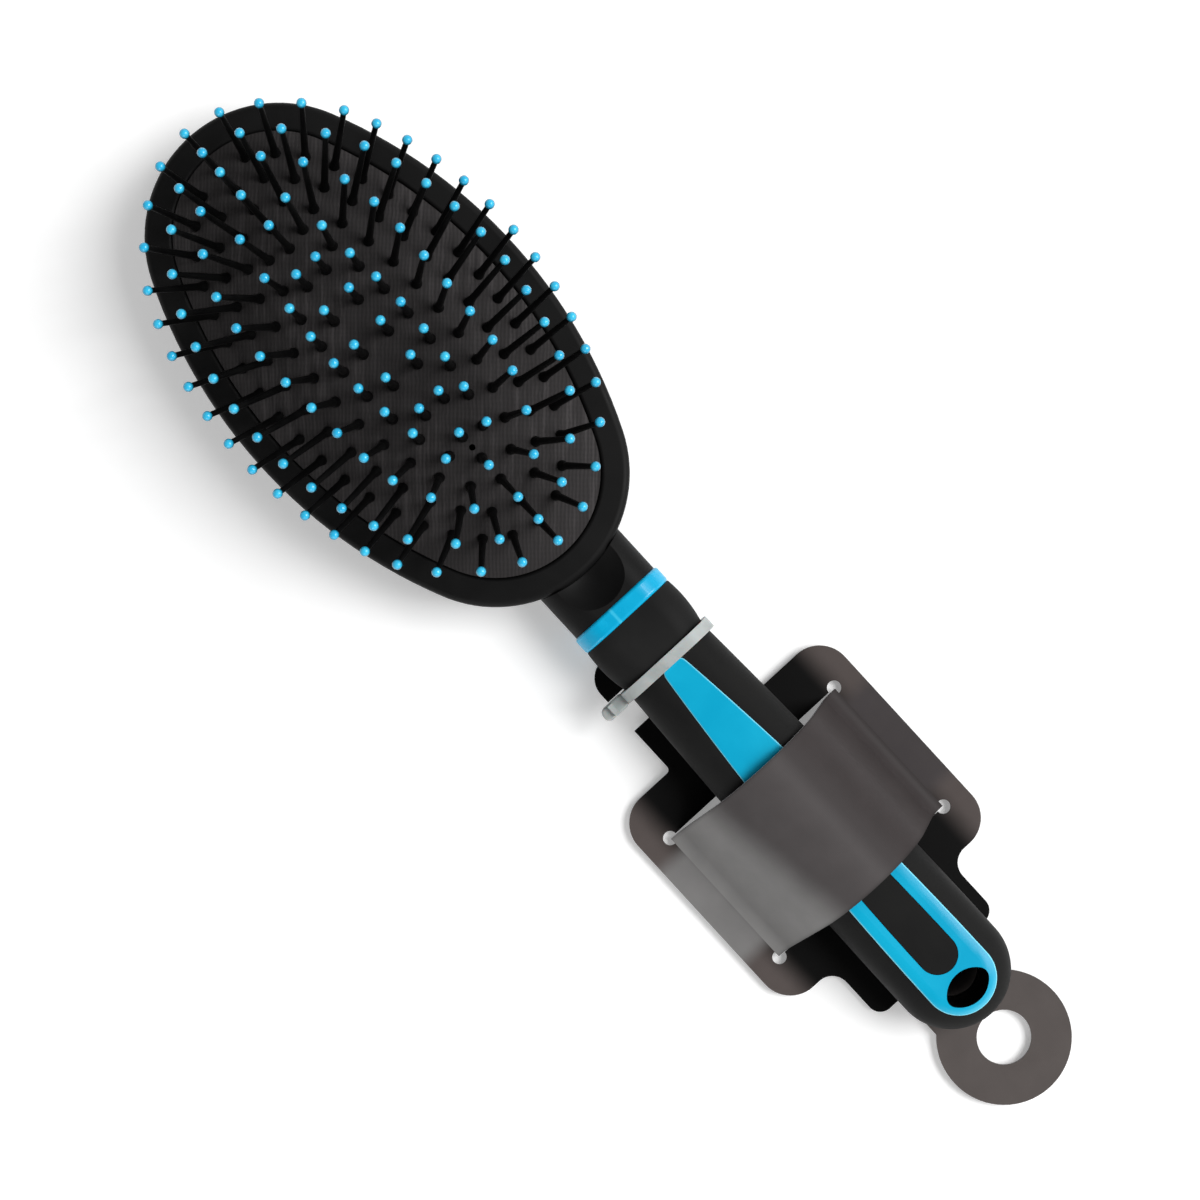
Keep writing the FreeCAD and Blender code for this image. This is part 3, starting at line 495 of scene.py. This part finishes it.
def pinPlaces(mesh):
    # where each pin leaves the dome and which way it leans, with the vent as the last one
    tree = BVHTree.FromBMesh(mesh)
    spots = []
    rings = len(pinField["counts"])
    lengths = []
    for ring, count in enumerate(pinField["counts"]):
        inward = ring / (rings - 1)
        half = [outer + (core - outer) * inward for outer, core in zip(pinField["outer"], pinField["core"])]
        lengths.append(half[0])
        spots += ringPoints(half[0], half[1], count)
    spots.append(Vector((-(lengths[-1] + lengths[-2]) / 2, 0, 0)))
    middle = Vector((cushion["centre"] + pinField["shift"], 0, pinField["rayHeight"]))
    return [tree.ray_cast(middle + spot, Vector((0, 0, -1)))[:2] for spot in spots]


def pressDimples(mesh, places):
    # the rubber dips a little round each pin
    radius, depth = pinField["dimpleRadius"], pinField["dimpleDepth"]
    lowest, facing = cushion["rimTop"] + pinField["dimpleMargin"], pinField["dimpleFacing"]
    upper = [vert for vert in mesh.verts if vert.co.z > lowest and vert.normal.z > facing]
    for spot, normal in places[:-1]:
        for vert in upper:
            away = (vert.co - spot).length / radius
            if away < 1:
                vert.co -= normal * depth * (1 - away * away) ** 2


def makeDrills(places):
    mesh = bmesh.new()
    for index, (spot, normal) in enumerate(places):
        radius = pinField["ventRadius"] if index == len(places) - 1 else pinField["holeRadius"]
        turn = Vector((0, 0, 1)).rotation_difference(normal).to_matrix().to_4x4()
        bmesh.ops.create_cone(
            mesh, cap_ends=True, segments=pinField["holeSides"], radius1=radius, radius2=radius,
            depth=2 * pinField["drillDepth"], matrix=Matrix.Translation(spot) @ turn,
        )
    return mesh


def newObject(name, mesh):
    data = bpy.data.meshes.new(name)
    mesh.to_mesh(data)
    mesh.free()
    made = bpy.data.objects.new(name, data)
    bpy.context.scene.collection.objects.link(made)
    return made


def drillCushion(body, drills):
    # holes for the pins and the vent, applied to the mesh
    cutter = body.modifiers.new("holes", "BOOLEAN")
    cutter.operation = "DIFFERENCE"
    cutter.solver = "EXACT"
    cutter.object = drills
    evaluated = body.evaluated_get(bpy.context.evaluated_depsgraph_get())
    drilled = bpy.data.meshes.new_from_object(evaluated)
    body.modifiers.clear()
    body.data = drilled
    bpy.data.objects.remove(drills)


# rubber with fine diagonal ribs, streaky and worn a little paler in patches, with painted sheen lifting the
# streaks paler
twill = {
    "turn": math.radians(-47), "ribScale": 415.0, "crossScale": 300.0, "crossShare": 0.18,
    "wander": 2.2, "ribDetail": 1.0,
    "streakStretch": (900.0, 80.0, 80.0), "streakNoise": {"Scale": 1.0, "Detail": 3.0},
    "streakRange": (0.42, 0.72), "patchScale": 42.0,
    "streakShare": 0.80, "evenShare": 0.32, "patchShare": 0.10, "paintedSheenStreaks": 0.42,
    "valley": (0.0225, 0.0209, 0.0211), "ridge": (0.0475, 0.0437, 0.0444),
    "gloss": (0.82, 0.66), "depth": 0.00010, "strength": 0.42,
    "constants": {"Specular IOR Level": 0.08, "Sheen Weight": 0.015},
}


def makeCushionRubber():
    material, tree, shader = newMaterial("cushionRubber", twill["constants"])
    place = objectPlace(tree)
    turned = addNode(tree, "ShaderNodeMapping", {"Rotation": (0, 0, twill["turn"])})
    tree.links.new(place, turned.inputs["Vector"])
    waves = []
    for scale, direction in ((twill["ribScale"], "X"), (twill["crossScale"], "Y")):
        values = {"Scale": scale, "Distortion": twill["wander"], "Detail": twill["ribDetail"]}
        along = turned.outputs["Vector"]
        waves.append(addTexture(tree, "ShaderNodeTexWave", along, values, bands_direction=direction))
    ribs = addMath(tree, "MULTIPLY", waves[0], 1 - twill["crossShare"])
    height = addMath(tree, "ADD", ribs, addMath(tree, "MULTIPLY", waves[1], twill["crossShare"]))
    # streaks along the ribs, in patches
    stretched = addNode(tree, "ShaderNodeMapping", {"Scale": twill["streakStretch"]})
    tree.links.new(turned.outputs["Vector"], stretched.inputs["Vector"])
    streak = addTexture(tree, "ShaderNodeTexNoise", stretched.outputs["Vector"], twill["streakNoise"])
    skin = addNode(tree, "ShaderNodeGroup", node_tree=mouldedSkin)
    skin.inputs["Smudge Scale"].default_value = twill["patchScale"]
    tree.links.new(place, skin.inputs["Vector"])
    patch = skin.outputs["Smudge"]
    streaks = addMath(tree, "MULTIPLY", addRamp(tree, streak, *twill["streakRange"]), patch)
    rubbed = addMath(tree, "MULTIPLY_ADD", streaks, twill["streakShare"], twill["evenShare"])
    ribsWearAndSheen = addMath(tree, "MULTIPLY", height, rubbed)
    ribsWearAndSheen = addMath(tree, "ADD", ribsWearAndSheen, addMath(tree, "MULTIPLY", patch, twill["patchShare"]))
    # painted sheen: the streaks are lifted paler in the colour
    ribsWearAndSheen = addMath(tree, "ADD", ribsWearAndSheen, addMath(tree, "MULTIPLY", streaks, twill["paintedSheenStreaks"]), clamp=True)
    tree.links.new(addMix(tree, ribsWearAndSheen, twill["valley"], twill["ridge"]), shader.inputs["Base Color"])
    addGloss(tree, shader, ribsWearAndSheen, *twill["gloss"])
    addBump(tree, shader, height, twill["depth"], twill["strength"])
    return material


cushionMesh = makeCushion()
places = pinPlaces(cushionMesh)
cushionMesh.normal_update()
pressDimples(cushionMesh, places)
cushionPiece = newObject("cushion_dome", cushionMesh)
drillCushion(cushionPiece, newObject("cushion_drills", makeDrills(places)))
cushionPiece.data.shade_smooth()
cushionPiece.data.set_sharp_from_angle(angle=cushion["sharpAngle"])
cushionPiece.data.materials.clear()
cushionPiece.data.materials.append(makeCushionRubber())
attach(cushionPiece, "brush")
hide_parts("cushion")
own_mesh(cushionPiece)
print("cushion made:", len(cushionPiece.data.polygons), "faces")


# stage: pale floor, soft panels, camera straight above
stage = {
    "floorRadius": 6.0, "floorSides": 96, "floorDrop": 0.0003,
    "floorColour": (0.90, 0.90, 0.90), "floorRoughness": 0.9, "floorGlow": 0.25,
    "horizon": (0.56, 0.56, 0.56), "zenith": (0.10, 0.10, 0.10), "zenithStart": (0.25, 0.92),
    "panels": (
        # place, size, watts
        ((-0.55, -0.92, 1.28), 1.0, 29.5),
        ((-0.85, 1.10, 0.80), 1.0, 6.5),
    ),
}
camera = {
    "place": (0.00635, 0.0018, 0.501), "turn": math.radians(-132.56),
    "lens": 72.45, "sensor": 36.0, "clipStart": 0.01,
}


def makeFloor():
    mesh = bmesh.new()
    bmesh.ops.create_circle(mesh, cap_ends=True, segments=stage["floorSides"], radius=stage["floorRadius"])
    bmesh.ops.translate(mesh, verts=mesh.verts[:], vec=(0, 0, -stage["floorDrop"]))
    floor = newObject("floor", mesh)
    constants = {
        "Base Color": (*stage["floorColour"], 1), "Roughness": stage["floorRoughness"],
        "Emission Color": (1, 1, 1, 1), "Emission Strength": stage["floorGlow"],
    }
    floor.data.materials.append(newMaterial("paleFloor", constants)[0])


def makeLights():
    world = bpy.data.worlds.new("studio")
    bpy.context.scene.world = world
    world.use_nodes = True
    tree = world.node_tree
    # a dark ceiling, so that black pieces stay black from above
    heading = splitVector(tree, addNode(tree, "ShaderNodeTexCoord").outputs["Generated"])
    ceiling = addRamp(tree, heading["Z"], *stage["zenithStart"])
    shade = addMix(tree, ceiling, stage["horizon"], stage["zenith"])
    tree.links.new(shade, tree.nodes["Background"].inputs["Color"])
    for number, (place, size, watts) in enumerate(stage["panels"], start=1):
        light = bpy.data.lights.new(f"panel_{number}", "AREA")
        light.size = size
        light.energy = watts
        panel = bpy.data.objects.new(f"panel_{number}", light)
        panel.location = place
        panel.rotation_euler = Vector(place).to_track_quat("Z", "Y").to_euler()
        bpy.context.scene.collection.objects.link(panel)


def makeCamera():
    lens = bpy.data.cameras.new("camera")
    lens.sensor_width = camera["sensor"]
    lens.lens = camera["lens"]
    lens.clip_start = camera["clipStart"]
    eye = bpy.data.objects.new("camera", lens)
    eye.location = camera["place"]
    eye.rotation_euler = (0, 0, camera["turn"])
    bpy.context.scene.collection.objects.link(eye)
    bpy.context.scene.camera = eye


makeFloor()
makeLights()
makeCamera()
bpy.context.scene.view_settings.view_transform = "Standard"
print("stage set")
